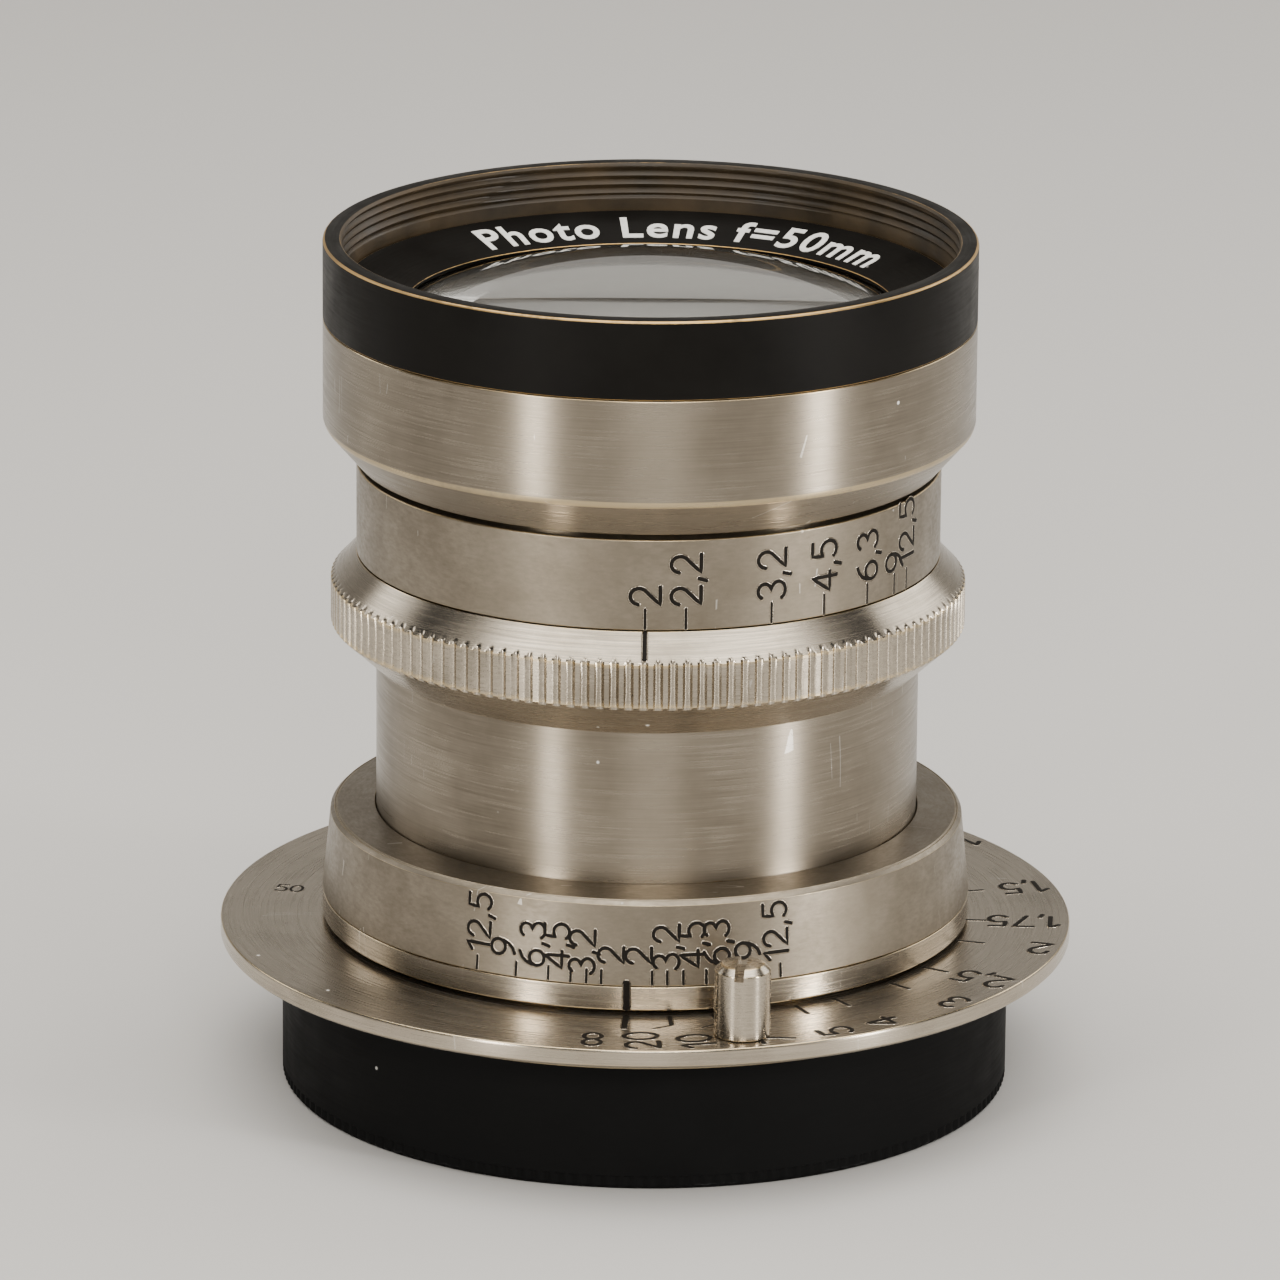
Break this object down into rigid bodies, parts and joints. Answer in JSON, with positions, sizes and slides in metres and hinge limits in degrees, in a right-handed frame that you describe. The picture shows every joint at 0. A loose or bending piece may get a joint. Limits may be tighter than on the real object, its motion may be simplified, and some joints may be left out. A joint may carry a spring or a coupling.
{
  "type": "screw-mount camera lens",
  "caption": "Rigid metal camera lens for a screw mount, with a turning distance disc, a knurled aperture ring, a working leaf iris and a screw-on rear cap.",
  "frame": {"origin": "centre of the rear cap's underside, on the optical axis", "axes": "+Z along the optical axis towards the front rim, -Y towards the index lines, +X to the right of them"},
  "size_m": [0.0474, 0.0474, 0.0481],
  "materials": {
    "nickel": "worn brushed nickel plate on brass",
    "satin_nickel": "satin nickel plate on brass",
    "black_lacquer": "black lacquer on brass, worn at the edges",
    "cap_black": "matte black paint",
    "brass": "machined brass",
    "inner_black": "matte blackened brass",
    "blade_steel": "blued spring steel",
    "glass": "uncoated polished optical glass",
    "screw_steel": "turned steel"
  },
  "bodies": {
    "mount": {"mount_ring": "nickel", "guide_ring": "brass"},
    "focus": {"focus_disc": "nickel", "disc_retaining_ring": "brass", "focus_peg": "nickel"},
    "lens_unit": {"helicoid_sleeve": "brass", "index_band": "nickel", "depth_scale_ring": "satin_nickel", "barrel": "nickel", "barrel_lock_ring": "inner_black", "aperture_scale_sleeve": "satin_nickel", "head_shell": "nickel", "front_rim": "black_lacquer", "name_ring": "black_lacquer", "front_cell": "inner_black", "front_element": "glass", "second_element": "glass", "third_element": "glass", "doublet_retaining_ring": "inner_black", "iris_base": "inner_black", "rear_cell": "inner_black", "fourth_element": "glass", "fifth_element": "glass", "rear_spacer": "inner_black", "rear_element": "glass", "rear_lens_ring": "inner_black", "rear_cell_ring": "inner_black"},
    "aperture": {"aperture_ring": "nickel", "iris_cam_ring": "brass", "aperture_drive_screw": "screw_steel"},
    "blade_1": {"iris_blade_1": "blade_steel"},
    "blade_2": {"iris_blade_2": "blade_steel"},
    "blade_3": {"iris_blade_3": "blade_steel"},
    "blade_4": {"iris_blade_4": "blade_steel"},
    "blade_5": {"iris_blade_5": "blade_steel"},
    "blade_6": {"iris_blade_6": "blade_steel"},
    "cap": {"rear_cap": "cap_black"}
  },
  "joints": [
    {"name": "focus_turn", "type": "hinge", "parent": "mount", "child": "focus", "pos_m": [0, 0, 0.0087], "axis": [0, 0, -1], "range_deg": [0, 165]},
    {"name": "focus_travel", "type": "slide", "parent": "mount", "child": "lens_unit", "axis": [0, 0, 1], "range_m": [0, 0.0028]},
    {"name": "aperture_turn", "type": "hinge", "parent": "lens_unit", "child": "aperture", "pos_m": [0, 0, 0.0277], "axis": [0, 0, 1], "range_deg": [0, 61]},
    {"name": "blade_1_turn", "type": "hinge", "parent": "lens_unit", "child": "blade_1", "pos_m": [0.0132, 0, 0.0281], "axis": [0, 0, 1], "range_deg": [0, 34.5]},
    {"name": "blade_2_turn", "type": "hinge", "parent": "lens_unit", "child": "blade_2", "pos_m": [0.0066, 0.01143, 0.02831], "axis": [0, 0, 1], "range_deg": [0, 34.5]},
    {"name": "blade_3_turn", "type": "hinge", "parent": "lens_unit", "child": "blade_3", "pos_m": [-0.0066, 0.01143, 0.02852], "axis": [0, 0, 1], "range_deg": [0, 34.5]},
    {"name": "blade_4_turn", "type": "hinge", "parent": "lens_unit", "child": "blade_4", "pos_m": [-0.0132, 0, 0.02873], "axis": [0, 0, 1], "range_deg": [0, 34.5]},
    {"name": "blade_5_turn", "type": "hinge", "parent": "lens_unit", "child": "blade_5", "pos_m": [-0.0066, -0.01143, 0.02894], "axis": [0, 0, 1], "range_deg": [0, 34.5]},
    {"name": "blade_6_turn", "type": "hinge", "parent": "lens_unit", "child": "blade_6", "pos_m": [0.0066, -0.01143, 0.02915], "axis": [0, 0, 1], "range_deg": [0, 34.5]},
    {"name": "cap_pull", "type": "slide", "parent": "mount", "child": "cap", "axis": [0, 0, -1], "range_m": [0, 0.012]}
  ],
  "couplings": [
    {"joint": "focus_turn", "follows": "focus_travel", "rad_per_m": 1025.6},
    {"joint": "blade_1_turn", "follows": "aperture_turn", "ratio": 0.56},
    {"joint": "blade_2_turn", "follows": "aperture_turn", "ratio": 0.56},
    {"joint": "blade_3_turn", "follows": "aperture_turn", "ratio": 0.56},
    {"joint": "blade_4_turn", "follows": "aperture_turn", "ratio": 0.56},
    {"joint": "blade_5_turn", "follows": "aperture_turn", "ratio": 0.56},
    {"joint": "blade_6_turn", "follows": "aperture_turn", "ratio": 0.56}
  ]
}
